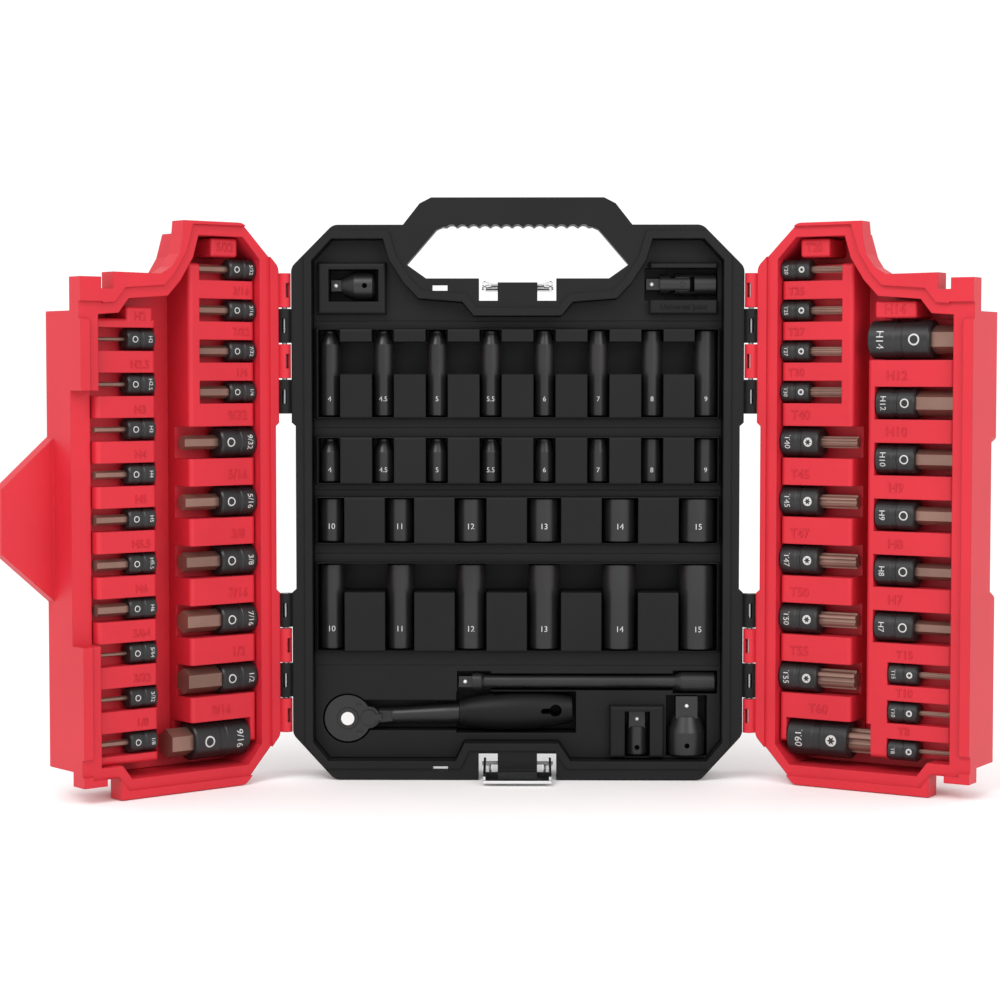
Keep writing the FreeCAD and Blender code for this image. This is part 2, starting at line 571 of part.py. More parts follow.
# Door inserts: a raised rail under each column of bits and a deep floor between the rails.
for side, word, by_hinge, by_free, free_from in (
        (-1, "left", LEFT_HINGE, LEFT_FREE, "83"), (1, "right", RIGHT_HINGE, RIGHT_FREE, "70")):
    pockets = column(word + "_hinge_column", side, by_hinge, True)
    pockets += column(word + "_free_column", side, by_free, False)
    opening = doc.getObject(word + "_door_cavity_outline")
    base = extrude(word + "_insert_base", grown(word + "_insert_outline", opening, "-insert_gap"),
                   "-door_floor", "-(door_depth - wall - 0.1 - door_floor)")
    rails = []
    spans = (("hinge", "16.4", "61", "24", "300"), ("free", free_from, "121.6", "19", "268"))
    for kind, start, end, low, high in spans:
        left = "hinge_x - %s" % end if side > 0 else "-(hinge_x - %s)" % start
        rail = box("%s_%s_rail" % (word, kind), (left, "-(door_floor + 1)", low),
                   ("%s - %s" % (end, start), "door_floor + 1 - door_shelf", "%s - %s" % (high, low)))
        rails.append(rounded("%s_%s_rail_round" % (word, kind), rail, "2.5", at_depth(-num("door_shelf"))))
    if side > 0:
        pockets.append(box("recess_room", ("free_edge", "-door_depth", "overlap_low - 6.3"),
                           ("overlap_long + 7.3", "overlap_thick + 2.6", "overlap_high - overlap_low + 12.6")))
    swing(cut(word + "_door_insert", fuse(word + "_insert_body", [base] + rails), pockets), side)


# Latches: a chromed lever with two ears on a pin of the tray, and a wire bail that turns in its ears.
def latch(name, z, turn):
    ear_long = "latch_plate_to + latch_throw - 4"
    parts = []
    for side in (-1, 1):
        x = "latch_ear_x" if side > 0 else "-latch_ear_x - latch_thick"
        arm = box("%s_arm_%d" % (name, side), (x, "-latch_throw", "-latch_ear_rad"),
                  ("latch_thick", ear_long, "2 * latch_ear_rad"))
        end = rod("%s_eye_%d" % (name, side), "latch_ear_rad", "latch_thick",
                  (x, "-latch_throw", "latch_rise"), TO_X)
        parts += [arm, end]
    plate = box(name + "_plate", ("-latch_ear_x - latch_thick", "latch_plate_from", "-latch_thick / 2"),
                ("2 * latch_ear_x + 2 * latch_thick", "latch_plate_to - latch_plate_from", "latch_thick"))
    lip = rod(name + "_lip", "1", "2 * latch_ear_x + 2 * latch_thick",
              ("-latch_ear_x - latch_thick", "latch_plate_to - 0.4", "0"), TO_X)
    holes = [rod(name + "_pivot", "latch_pin_rad + 0.03", "60", ("-30", "0", "0"), TO_X),
             rod(name + "_wire_hole", "bail_rad", "60", ("-30", "-latch_throw", "latch_rise"), TO_X)]
    lever = cut(name + "_lever", fuse(name + "_blank", parts + [plate, lip]), holes)
    move(lever, "0", "latch_y", z, turn)

    wire = []
    for side in (-1, 1):
        start = "bail_x" if side > 0 else "-latch_ear_x - latch_thick - 0.8"
        wire.append(rod("%s_stub_%d" % (name, side), "bail_rad * 0.95",
                        "latch_ear_x + latch_thick + 0.8 - bail_x", (start, "-latch_throw", "latch_rise"), TO_X))
        wire.append(rod("%s_leg_%d" % (name, side), "bail_rad", "bail_long + 2 * bail_rad",
                        ("%d * bail_x" % side, "-latch_throw - bail_rad", "latch_rise"), TO_Y))
    wire.append(rod(name + "_hook", "bail_rad * 0.95", "2 * bail_x",
                    ("-bail_x", "bail_long - latch_throw", "latch_rise"), TO_X))
    move(fuse(name + "_bail", wire), "0", "latch_y", z, turn)


latch("top_latch", "top_latch_z", FreeCAD.Rotation())
latch("bottom_latch", "low_latch_z", FreeCAD.Rotation(V(1, 0, 0), 180 + num("low_latch_dip")))


# Ratchet, drawn with its head at the origin and its grip along +X; the drive points to +Y.
def place_ratchet(thing):
    formula = "placement(vector(%s; %s; %s); rotation(vector(0; 1; 0); -%s))"
    thing.setExpression("Placement", formula % tuple(ref(d) for d in (
        "ratchet_x", "ratchet_y", "ratchet_z", "ratchet_tilt")))
    return thing


def y_rod(name, radius, start, end, x="0", z="0"):
    return rod(name, radius, "%s - (%s)" % (end, start), (x, start, z), TO_Y)


head = rounded("ratchet_head", y_rod("ratchet_head_blank", "head_rad", "-4", "6.5"), "1.5",
               at_depth(6.5))
shank = revolve("ratchet_shank", [
    ("0", "9"), ("5.6", "9"), ("4.9", "27"), ("6.2", "58"), ("6.2", "grip_from - 0.2"), ("4.6", "grip_from - 0.2"),
    ("4.6", "110"), ("0", "110")], ("0", "0", "0"), TO_X)
gear_room = y_rod("gear_room", "gear_rad + 0.5", "-5", "3.2")
drive_bore = y_rod("drive_bore", "6.3", "0", "8")
pawl_room = box("pawl_room", ("5", "-5", "-6.4"), ("13.2", "8.2", "12.8"))
lid_flat = box("lid_flat", ("-20", "-20", "-20"), ("46", "16", "40"))
place_ratchet(cut("ratchet_body", fuse("ratchet_blank", [head, shank]),
                  [gear_room, drive_bore, pawl_room, lid_flat]))

lid = fuse("ratchet_lid_blank", [y_rod("lid_disc", "head_rad", "-6.3", "-4"),
                                 y_rod("lid_tail", "6.4", "-6.3", "-4", "12.4")])
place_ratchet(cut("ratchet_cover", lid, [
    y_rod("lid_bore", "6.3", "-8", "0"), y_rod("lever_bore", "2.6", "-8", "0", "12.5"),
    y_rod("screw_bore_0", "1.7", "-8", "0", "6.8", "8.1"), y_rod("screw_bore_1", "1.7", "-8", "0", "6.8", "-8.1")]))
screws = []
for i, z in enumerate(("8.1", "-8.1")):
    screw = y_rod("cover_screw_%d" % i, "1.7", "-6.3", "-4", "6.8", z)
    slot = box("screw_slot_%d" % i, ("6.8 - 2", "-7", z + " - 0.3"), ("4", "1.2", "0.6"))
    screws.append(cut("cut_screw_%d" % i, screw, [slot]))
place_ratchet(group("ratchet_screws", screws))

grip_form = named("Part::Ellipsoid", "grip_form")
grip_form.setExpression("Radius1", ref("grip_rad"))
grip_form.setExpression("Radius2", "44")
grip_form.setExpression("Radius3", ref("grip_rad * 0.92"))
move(grip_form, "100", "0", "0")
grip_length = rod("grip_length", "grip_rad + 3", "grip_to - grip_from", ("grip_from", "0", "0"), TO_X)
collar = rod("grip_collar", "7.8", "5", ("grip_from", "0", "0"), TO_X)
grip_trim = named("Part::Common", "grip_trim")
grip_trim.Base = grip_form
grip_trim.Tool = grip_length
hang_hole = fuse("hang_hole", [
    y_rod("hang_round", "3.6", "-20", "20", "122.5"), y_rod("hang_tip", "1.6", "-20", "20", "115.5"),
    box("hang_web", ("115.5", "-20", "-1.6"), ("7", "40", "3.2"))])
tang_room = rod("tang_room", "4.6", "46", ("grip_from - 2", "0", "0"), TO_X)
place_ratchet(cut("ratchet_grip", fuse("grip_blank", [grip_trim, collar]), [hang_hole, tang_room]))

# Drive: a toothed wheel with its square; the teeth are a pattern of round gullets.
wheel = fuse("drive_blank", [
    y_rod("wheel_disc", "gear_rad", "-3.7", "3"), y_rod("wheel_ring", "6.2", "-6.9", "6.9"),
    box("drive_square", ("-quarter_square / 2", "6", "-quarter_square / 2"),
        ("quarter_square", "8.5", "quarter_square"))])
gullets = []
for i in range(int(num("gear_teeth"))):
    turn = "%d * 360 / gear_teeth" % i
    gullets.append(y_rod("gullet_%d" % i, "0.42", "-5", "4",
                         "gear_rad * cos(%s)" % turn, "gear_rad * sin(%s)" % turn))
button_room = y_rod("button_room", "4.05", "-9", "-3")
stem_room = y_rod("stem_room", "1.55", "-4", "14")
place_ratchet(cut("ratchet_drive", wheel, gullets + [button_room, stem_room]))
place_ratchet(fuse("release_button", [
    y_rod("button_cap", "3.9", "-8", "-4.6"), y_rod("button_stem", "1.4", "-5", "12")]))
pawl = cut("ratchet_pawl", box("pawl_blank", ("10.6", "-3.6", "-5.8"), ("5", "6.4", "11.6")),
           [y_rod("pawl_face", "gear_rad + 0.55", "-6", "6"), y_rod("pawl_pin_bore", "2.2", "-6", "6", "13.6")])
place_ratchet(pawl)
place_ratchet(fuse("reversing_lever", [
    y_rod("lever_cap", "4.5", "-7.9", "-6.5", "12.5"), y_rod("lever_stem", "2.5", "-7", "-4.1", "12.5"),
    box("lever_thumb", ("12.5", "-7.9", "-1.8"), ("7.5", "1.4", "3.6"))]))

# Extension bar: male square with its ball at the left, female end at the right.
bar = fuse("bar_blank", [
    revolve("bar_turned", [
        ("0", "0"), ("bar_end_rad - 0.8", "0"), ("bar_end_rad", "0.8"), ("bar_end_rad", "20"),
        ("bar_rad", "24"), ("bar_rad", "bar_right - bar_left - 15"), ("5.6", "bar_right - bar_left - 13"),
        ("5.6", "bar_right - bar_left - 8"), ("0", "bar_right - bar_left - 8")],
        ("bar_right", "small_axis", "bar_z"), TO_LEFT),
    box("bar_square", ("bar_left", "small_axis - quarter_square / 2", "bar_z - quarter_square / 2"),
        ("9", "quarter_square", "quarter_square"))])
cut("extension_bar", bar, [box("bar_drive", ("bar_right - 9", "small_axis - quarter_square / 2",
                                             "bar_z - quarter_square / 2"),
                               ("12", "quarter_square", "quarter_square"))])

# Universal joint: a socket yoke at the right, a centre block and a drive yoke at the left.
yoke_tools = [
    box("socket_yoke_slot", ("swivel_x - 20", "small_axis - 20", "swivel_z - 4.6"), ("27", "40", "9.2")),
    box("socket_yoke_drive", ("swivel_from - 9", "small_axis - quarter_square / 2", "swivel_z - quarter_square / 2"),
        ("12", "quarter_square", "quarter_square")),
    rod("socket_yoke_bore", "1.55", "30", ("swivel_x", "small_axis", "swivel_z - 15")),
]
cut("swivel_socket_yoke", rod("socket_yoke_blank", "swivel_rad", "swivel_from - swivel_x + 4.4",
                              ("swivel_x - 4.4", "small_axis", "swivel_z"), TO_X), yoke_tools)
cross = fuse("cross_blank", [
    box("cross_core", ("swivel_x - 4.1", "small_axis - 4.1", "swivel_z - 4.1"), ("8.2", "8.2", "8.2")),
    rod("cross_up", "1.5", "11.6", ("swivel_x", "small_axis", "swivel_z - 5.8")),
    rod("cross_through", "1.5", "11.6", ("swivel_x", "small_axis - 5.8", "swivel_z"), TO_Y)])
cross.Label = "swivel_cross"
drive_yoke = fuse("drive_yoke_blank", [
    rod("drive_yoke_round", "swivel_rad - 0.6", "swivel_x + 4.4 - swivel_to - 8",
        ("swivel_to + 8", "small_axis", "swivel_z"), TO_X),
    box("drive_yoke_square", ("swivel_to", "small_axis - quarter_square / 2", "swivel_z - quarter_square / 2"),
        ("9", "quarter_square", "quarter_square"))])
cut("swivel_drive_yoke", drive_yoke, [
    box("drive_yoke_slot", ("swivel_x - 7", "small_axis - 4.6", "swivel_z - 20"), ("27", "9.2", "40")),
    rod("drive_yoke_bore", "1.55", "30", ("swivel_x", "small_axis - 15", "swivel_z"), TO_Y)])


# Adapters: a turned body with a female square at one end and a male square at the other.
def adapter(name, radius, body_long, male, female, at, turn):
    body = revolve(name + "_blank", [
        ("0", "0"), (radius + " - 0.9", "0"), (radius, "0.9"), (radius, body_long + " * 0.6"),
        ("%s * 0.5 + 1.6" % male, body_long), ("0", body_long)])
    post = box(name + "_post", ("-%s / 2" % male, "-%s / 2" % male, body_long + " - 1"),
               (male, male, "%s * 0.95 + 1" % male))
    hole = box(name + "_hole", ("-%s / 2" % female, "-%s / 2" % female, "-1"),
               (female, female, "%s * 0.5 + 1" % body_long))
    pin = rod(name + "_cross_hole", "1.5", "60", ("0", "-30", body_long + " * 0.28"), TO_Y)
    return move(cut(name, fuse(name + "_form", [body, post]), [hole, pin]), *at, turn=turn)


adapter("drive_reducer", "reducer_rad", "reducer_long", "quarter_square", "9.53",
        ("reducer_x + reducer_long + 6.1", "small_axis", "reducer_z"), TO_LEFT)
adapter("small_adapter", "small_adapter_rad", "17", "9.53", "quarter_square",
        ("small_adapter_x", "small_axis", "cavity_low + 2"), None)
adapter("large_adapter", "large_adapter_rad", "23", "12.7", "9.53",
        ("large_adapter_x", "small_axis", "cavity_low + 2"), None)

doc.recompute()

NODES = ["tray_shell"] + ["tray_insert_" + band[0] for band in INSERT_BANDS]
NODES += ["left_door_shell", "left_door_insert", "right_door_shell", "right_door_insert"]
NODES += ["left_hinge_pins", "right_hinge_pins"]
NODES += ["%s_latch_%s" % (end, piece) for end in ("top", "bottom") for piece in ("pin", "lever", "bail")]
NODES += ["deep_sockets_small", "short_sockets_small"]
NODES += ["%s_socket_%d" % (row, size) for row in ("short", "deep") for size in LARGE_SIZES]
NODES += ["%s_%s_column_%s" % (side, col, piece) for side in ("left", "right") for col in ("hinge", "free")
          for piece in ("bodies", "bits")]
NODES += ["ratchet_body", "ratchet_cover", "ratchet_screws", "ratchet_grip", "ratchet_drive", "release_button"]
NODES += ["ratchet_pawl", "reversing_lever", "extension_bar", "swivel_socket_yoke", "swivel_cross"]
NODES += ["swivel_drive_yoke", "drive_reducer", "small_adapter", "large_adapter"]

for thing in doc.Objects:
    if "Invalid" in thing.State or "Error" in thing.State:
        raise RuntimeError("%s did not build: %s" % (thing.Label, thing.State))
os.makedirs("parts", exist_ok=True)
for node in NODES:
    made = doc.getObjectsByLabel(node)[0]
    if made.Shape.isNull() or not made.Shape.isValid() or not made.Shape.Solids:
        raise RuntimeError("%s has no valid solid" % node)
    made.Shape.exportStep("parts/%s.step" % node)
    b = made.Shape.BoundBox
    print("%-26s %3d solids %9.0f mm3  X %.1f..%.1f Y %.1f..%.1f Z %.1f..%.1f" % (
        node, len(made.Shape.Solids), made.Shape.Volume, b.XMin, b.XMax, b.YMin, b.YMax, b.ZMin, b.ZMax))
print(len(NODES), "nodes")
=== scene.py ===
import math

import bmesh
import bpy
from mathutils import Matrix, Vector


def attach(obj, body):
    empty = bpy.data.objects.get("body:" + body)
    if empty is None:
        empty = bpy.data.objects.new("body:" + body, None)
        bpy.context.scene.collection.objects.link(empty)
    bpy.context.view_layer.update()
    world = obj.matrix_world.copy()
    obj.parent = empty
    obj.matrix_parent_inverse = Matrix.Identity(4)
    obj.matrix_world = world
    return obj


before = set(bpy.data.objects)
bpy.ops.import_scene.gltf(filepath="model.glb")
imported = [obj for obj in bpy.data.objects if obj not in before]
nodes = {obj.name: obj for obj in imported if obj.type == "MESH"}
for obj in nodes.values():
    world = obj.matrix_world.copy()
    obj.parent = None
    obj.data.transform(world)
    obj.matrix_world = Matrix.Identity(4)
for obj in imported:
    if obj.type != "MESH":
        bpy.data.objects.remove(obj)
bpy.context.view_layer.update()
MM = 0.001


def placed(name, data):
    """A new object of the scene."""
    thing = bpy.data.objects.new(name, data)
    bpy.context.scene.collection.objects.link(thing)
    return thing


# Materials: every surface has fine grain, a slow change of tone and a roughness that varies with the grain.
TONE_SCALE = 22.0
GLOSS_SPREAD = 0.14
RELIEF_DEPTH = 0.2 * MM


def finish_of(name, colour, spread, rough, metal=0.0, grain=1400.0, bump=0.12, edge=0.0,
              stretch=(1, 1, 1), specular=0.5):
    """A material; spread is the change of tone, edge the radius in metres that sharp edges seem to have."""
    material = bpy.data.materials.new(name)
    material.use_nodes = True
    tree = material.node_tree
    shader = tree.nodes["Principled BSDF"]
    shader.inputs["Metallic"].default_value = metal
    shader.inputs["Specular IOR Level"].default_value = specular

    place = tree.nodes.new("ShaderNodeTexCoord")
    scaled = tree.nodes.new("ShaderNodeMapping")
    scaled.inputs["Scale"].default_value = stretch
    tree.links.new(place.outputs["Object"], scaled.inputs["Vector"])

    slow = tree.nodes.new("ShaderNodeTexNoise")
    slow.inputs["Scale"].default_value = TONE_SCALE
    slow.inputs["Detail"].default_value = 5.0
    fine = tree.nodes.new("ShaderNodeTexNoise")
    fine.inputs["Scale"].default_value = grain
    fine.inputs["Detail"].default_value = 3.0
    for noise in (slow, fine):
        tree.links.new(scaled.outputs["Vector"], noise.inputs["Vector"])

    tone = tree.nodes.new("ShaderNodeValToRGB")
    dark, light = tone.color_ramp.elements
    dark.position = 0.3
    light.position = 0.7
    dark.color = tuple(c * (1 - spread) for c in colour) + (1,)
    light.color = tuple(min(1, c * (1 + spread)) for c in colour) + (1,)
    tree.links.new(slow.outputs["Fac"], tone.inputs["Fac"])
    tree.links.new(tone.outputs["Color"], shader.inputs["Base Color"])

    gloss = tree.nodes.new("ShaderNodeMapRange")
    gloss.inputs["To Min"].default_value = rough * (1 - GLOSS_SPREAD)
    gloss.inputs["To Max"].default_value = rough * (1 + GLOSS_SPREAD)
    tree.links.new(fine.outputs["Fac"], gloss.inputs["Value"])
    tree.links.new(gloss.outputs["Result"], shader.inputs["Roughness"])

    relief = tree.nodes.new("ShaderNodeBump")
    relief.inputs["Strength"].default_value = bump
    relief.inputs["Distance"].default_value = RELIEF_DEPTH
    tree.links.new(fine.outputs["Fac"], relief.inputs["Height"])
    if edge:
        soft_edge = tree.nodes.new("ShaderNodeBevel")
        soft_edge.samples = 4
        soft_edge.inputs["Radius"].default_value = edge
        tree.links.new(soft_edge.outputs["Normal"], relief.inputs["Normal"])
    tree.links.new(relief.outputs["Normal"], shader.inputs["Normal"])
    return material


MOULDED_EDGE = 0.9 * MM
GRIP_EDGE = 0.5 * MM
STEEL_EDGE = 0.3 * MM
BIT_EDGE = 0.2 * MM

BLACK = finish_of("tray_black", (0.0070, 0.0070, 0.0073), 0.15, 0.48,
                  bump=0.22, edge=MOULDED_EDGE, specular=0.18)
RED = finish_of("door_red", (0.53, 0.017, 0.030), 0.05, 0.46,
                bump=0.22, edge=MOULDED_EDGE, specular=0.3)
STEEL = finish_of("phosphate_black", (0.017, 0.017, 0.018), 0.25, 0.34,
                  metal=0.3, grain=2600, bump=0.1, edge=STEEL_EDGE)
BITS = finish_of("bit_brown", (0.22, 0.125, 0.098), 0.22, 0.36,
                 metal=0.6, grain=1800, bump=0.08, edge=BIT_EDGE)
CHROME = finish_of("latch_chrome", (0.80, 0.80, 0.81), 0.03, 0.13,
                   metal=1.0, grain=900, bump=0.03, edge=STEEL_EDGE)
PINS = finish_of("pin_steel", (0.36, 0.36, 0.37), 0.1, 0.3,
                 metal=1.0, grain=1800, bump=0.05, stretch=(1, 1, 0.1))
BRIGHT = finish_of("button_bright", (0.72, 0.72, 0.71), 0.04, 0.32,
                   metal=0.3, grain=1500, bump=0.04, edge=STEEL_EDGE)
GRIP = finish_of("grip_black", (0.008, 0.008, 0.0083), 0.2, 0.42,
                 grain=1700, bump=0.16, edge=GRIP_EDGE, specular=0.15)
PRINT = finish_of("etched_mark", (0.50, 0.50, 0.49), 0.08, 0.55, grain=2500, bump=0.05)


def finish_for(name):
    """The material of a node, by what its name says it is."""
    if name.startswith("tray_"):
        return BLACK
    if name.endswith(("_door_shell", "_door_insert")):
        return RED
    if name.endswith("_bits"):
        return BITS
    if "latch" in name and name.endswith(("_lever", "_bail")):
        return CHROME
    if name.endswith(("_pins", "_pin")):
        return PINS
    if name == "release_button":
        return BRIGHT
    if name == "ratchet_grip":
        return GRIP
    return STEEL


for node_name, node in nodes.items():
    node.data.materials.clear()
    node.data.materials.append(finish_for(node_name))


# Marks: size numbers and rings, made as thin solids and bent round what they sit on.
FONT_SIZE = 1.4
RAISED = 0.8
ETCHED = 0.1
RING_SIDES = 36
RING_LOBES = 6


def glyphs(text, height, thick):
    """Corners and faces of a centred text in its own plane, in metres."""
    curve = bpy.data.curves.new("letters", "FONT")
    curve.body = text
    curve.size = height * FONT_SIZE * MM
    curve.align_x = "CENTER"
    curve.align_y = "CENTER"
    curve.extrude = thick * MM / 2
    curve.resolution_u = 3
    holder = placed("letters", curve)
    bpy.context.view_layer.update()
    mesh = bpy.data.meshes.new_from_object(holder.evaluated_get(bpy.context.evaluated_depsgraph_get()))
    corners = [v.co.copy() for v in mesh.vertices]
    faces = [tuple(f.vertices) for f in mesh.polygons]
    bpy.data.objects.remove(holder)
    bpy.data.curves.remove(curve)
    bpy.data.meshes.remove(mesh)
    return corners, faces


def upright(shape):
    """The same mark turned a quarter in its plane."""
    corners, faces = shape
    return [Vector((c.y, -c.x, c.z)) for c in corners], faces


def ring(outer, inner, lobe_depth, thick):
    """Corners and faces of a flat ring in its own plane, in metres; its inner edge can have lobes."""
    corners = []
    faces = []
    for z in (-thick / 2, thick / 2):
        for radius, wave in ((inner, lobe_depth), (outer, 0)):
            for i in range(RING_SIDES):
                a = 2 * math.pi * i / RING_SIDES
                reach = radius * (1 + wave * (math.cos(RING_LOBES * a) - 1) / 2)
                corners.append(Vector((reach * math.cos(a), reach * math.sin(a), z)) * MM)
    low_in, low_out, high_in, high_out = (RING_SIDES * row for row in range(4))
    for i in range(RING_SIDES):
        j = (i + 1) % RING_SIDES
        faces.append((high_in + i, high_out + i, high_out + j, high_in + j))
        faces.append((low_in + j, low_out + j, low_out + i, low_in + i))
        faces.append((low_out + i, low_out + j, high_out + j, high_out + i))
        faces.append((low_in + j, low_in + i, high_in + i, high_in + j))
    return corners, faces


class Marks:
    """Gathers small marks into one piece that rides on one body."""

    def __init__(self, name, body, material, slot):
        self.name, self.body, self.material, self.slot = name, body, material, slot
        self.corners = []
        self.faces = []

    def add(self, shape, matrix, bend=None):
        corners, faces = shape
        first = len(self.corners)
        for corner in corners:
            if bend:
                corner = bend(corner)
            self.corners.append(matrix @ corner)
        for face in faces:
            self.faces.append(tuple(first + i for i in face))

    def make(self):
        mesh = bpy.data.meshes.new(self.name)
        mesh.from_pydata([tuple(c) for c in self.corners], [], self.faces)
        mesh.update()
        mesh.materials.append(self.material)
        piece = placed(self.name, mesh)
        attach(piece, self.body)


def wrapped(radius, across):
    """Bends a flat mark round a lying or standing bar; across is the mark's axis that goes round."""
    def bend(corner):
        bent = corner.copy()
        bent.z += math.sqrt(max(0, radius ** 2 - corner[across] ** 2)) - radius
        return bent
    return bend


# Doors: sizes in millimetres, drawn closed; side is -1 for the left door and 1 for the right one.
HINGE_X = 135.2
OPEN = {-1: 139.3, 1: 149.0}
WORD = {-1: "left", 1: "right"}
RAIL_FACE = -6.5
DOOR_FLOOR = -30.0
BIT_FRONT = -5.0

# Bit sockets by kind: small, medium and large. A step is the pitch of one kind over its diameter.
DIAS = {"s": 12.0, "m": 17.5, "l": 22.0}
LENGTHS = {"s": 37.0, "m": 46.0, "l": 51.0}
BODIES = {"s": 17.5, "m": 23.5, "l": 37.0}
HINGE_KINDS = "ssssmmmmml"
FREE_KINDS = {-1: "s" * 10, 1: "lmmmmmsss"}
HINGE_FIRST_Z = 297.0
HINGE_STEP = 1.95
HINGE_BASE = 16.1
LARGE_BASE = 21.5
LARGE_RISE = 3.4
FREE_FIRST_Z = 256.5
FREE_STEP = {-1: 25.1 / 12, 1: 1.81}
FREE_TIP = 121.0
HINGE_LABELS = {
    -1: ("5/32", "3/16", "7/32", "1/4", "9/32", "5/16", "3/8", "7/16", "1/2", "9/16"),
    1: ("T20", "T25", "T27", "T30", "T40", "T45", "T47", "T50", "T55", "T60"),
}
FREE_LABELS = {
    -1: ("H2", "H2.5", "H3", "H4", "H5", "H5.5", "H6", "5/64", "3/32", "1/8"),
    1: ("H14", "H12", "H10", "H9", "H8", "H7", "T15", "T10", "T8"),
}

# Labels: the raised ones on the rails by kind, and the etched marks as parts of a body's radius and length.
LABEL_HIGH = {"s": 4.6, "m": 5.4, "l": 5.4}
LABEL_RISE = {"s": 5.0, "m": 6.6, "l": 6.6}
LABEL_SHIFT = 1
RING_OUTER, RING_INNER, LOBE_DEPTH = 0.3, 0.22, 0.5
ETCHED_HIGH = 0.4
RING_AT, ETCHED_AT = 0.76, 0.2

# Blocks that carry the first label of each column: from and to along the door, then from and to in height.
PAD_ROUND = 1.6
HINGE_PAD = (28.0, 46.0, 304.0, 314.6)
FREE_PAD = {-1: (85.0, 102.0, 263.8, 274.6), 1: (74.0, 99.0, 268.6, 278.2)}


def column_heights(first, kinds, step):
    heights = [first]
    for before, kind in zip(kinds, kinds[1:]):
        heights.append(heights[-1] - step * (DIAS[before] + DIAS[kind]) / 2)
    return heights


def pad(width, height):
    """A label block whose face is in its own plane and which reaches back to the door's floor, in metres."""
    depth = RAIL_FACE - DOOR_FLOOR
    shape = bmesh.new()
    bmesh.ops.create_cube(shape, size=1)
    bmesh.ops.scale(shape, verts=shape.verts, vec=Vector((width, height, depth)) * MM)
    bmesh.ops.translate(shape, verts=shape.verts, vec=Vector((0, 0, -depth / 2)) * MM)
    front = [e for e in shape.edges if max(v.co.z for v in e.verts) > -depth / 2 * MM]
    bmesh.ops.bevel(shape, geom=front, offset=PAD_ROUND * MM, segments=4, profile=0.5, affect="EDGES")
    shape.verts.index_update()
    corners = [v.co.copy() for v in shape.verts]
    faces = [tuple(v.index for v in f.verts) for f in shape.faces]
    shape.free()
    return corners, faces


def on_door(side, u, y, z):
    """The place of a mark that faces out of an open door; u is measured from the hinge axis."""
    hinge = Matrix.Translation((side * HINGE_X * MM, 0, 0))
    turned = hinge @ Matrix.Rotation(math.radians(side * OPEN[side]), 4, "Z") @ hinge.inverted()
    facing = Matrix(((-1, 0, 0, 0), (0, 0, 1, 0), (0, 1, 0, 0), (0, 0, 0, 1)))
    return turned @ Matrix.Translation((side * (HINGE_X - u) * MM, y * MM, z * MM)) @ facing


def hinge_column(side):
    """Kind, start from the hinge axis, height and label of each bit socket in the column by the hinge."""
    heights = column_heights(HINGE_FIRST_Z, HINGE_KINDS, HINGE_STEP)
    for kind, z, label in zip(HINGE_KINDS, heights, HINGE_LABELS[side]):
        if kind == "l":
            yield kind, LARGE_BASE, z + LARGE_RISE, label
        else:
            yield kind, HINGE_BASE, z, label


def free_column(side):
    """The same for the column by the door's free edge, where the bits' tips are in line."""
    heights = column_heights(FREE_FIRST_Z, FREE_KINDS[side], FREE_STEP[side])
    for kind, z, label in zip(FREE_KINDS[side], heights, FREE_LABELS[side]):
        yield kind, FREE_TIP - LENGTHS[kind], z, label


def add_label(raised, side, kind, label, u, z):
    raised.add(glyphs(label, LABEL_HIGH[kind], RAISED), on_door(side, u, RAIL_FACE, z))


def add_first_label(raised, side, kind, label, block):
    """A label on a block of its own, above the end of the rail."""
    start, end, low, high = block
    u, z = (start + end) / 2, (low + high) / 2
    raised.add(pad(end - start, high - low), on_door(side, u, RAIL_FACE, z))
    add_label(raised, side, kind, label, u, z)


def add_etching(etched, side, kind, label, base, z):
    """The ring and the size number on a bit socket's body; six-lobed bits have a lobed ring."""
    radius = DIAS[kind] / 2
    bend = wrapped(radius * MM, 1)
    lobe_depth = LOBE_DEPTH if label.startswith("T") else 0
    etched.add(ring(radius * RING_OUTER, radius * RING_INNER, lobe_depth, ETCHED),
               on_door(side, base + BODIES[kind] * RING_AT, BIT_FRONT, z), bend)
    etched.add(upright(glyphs(label, radius * ETCHED_HIGH, ETCHED)),
               on_door(side, base + BODIES[kind] * ETCHED_AT, BIT_FRONT, z), bend)


for side in (-1, 1):
    door = WORD[side] + "_door"
    raised = Marks(door + "_size_numbers", door, RED, "red_plastic")
    etched = Marks(door + "_bit_marks", door, PRINT, "black_steel")
    for column, block in ((hinge_column(side), HINGE_PAD), (free_column(side), FREE_PAD[side])):
        for place, (kind, base, z, label) in enumerate(column):
            if place == 0:
                add_first_label(raised, side, kind, label, block)
            else:
                u = base + BODIES[kind] / 2 + LABEL_SHIFT
                add_label(raised, side, kind, label, u, z + DIAS[kind] / 2 + LABEL_RISE[kind])
            add_etching(etched, side, kind, label, base, z)
    raised.make()
    etched.make()


# Tray: size numbers on the sockets; a row has its sockets' lower end and the numbers' height above it.
SMALL_LABELS = ("4", "4.5", "5", "5.5", "6", "7", "8", "9")
SMALL_DIA, SMALL_LAST_DIA = 11.9, 12.9
SMALL_PITCH = 31.4
SMALL_AXIS_Y = 15.0
SMALL_HIGH = 2.9
SMALL_ROWS = ((212.5, 10), (174.0, 7))

# Label, diameter and place of the large sockets.
LARGE_SOCKETS = (
    ("10", 14.0, -109.2), ("11", 15.2, -69.0), ("12", 16.7, -27.5),
    ("13", 18.0, 15.5), ("14", 19.4, 59.8), ("15", 20.8, 105.5),
)
LARGE_AXIS_Y = 15.6
LARGE_HIGH = 3.4
LARGE_ROWS = ((138.9, 9), (75.7, 12))

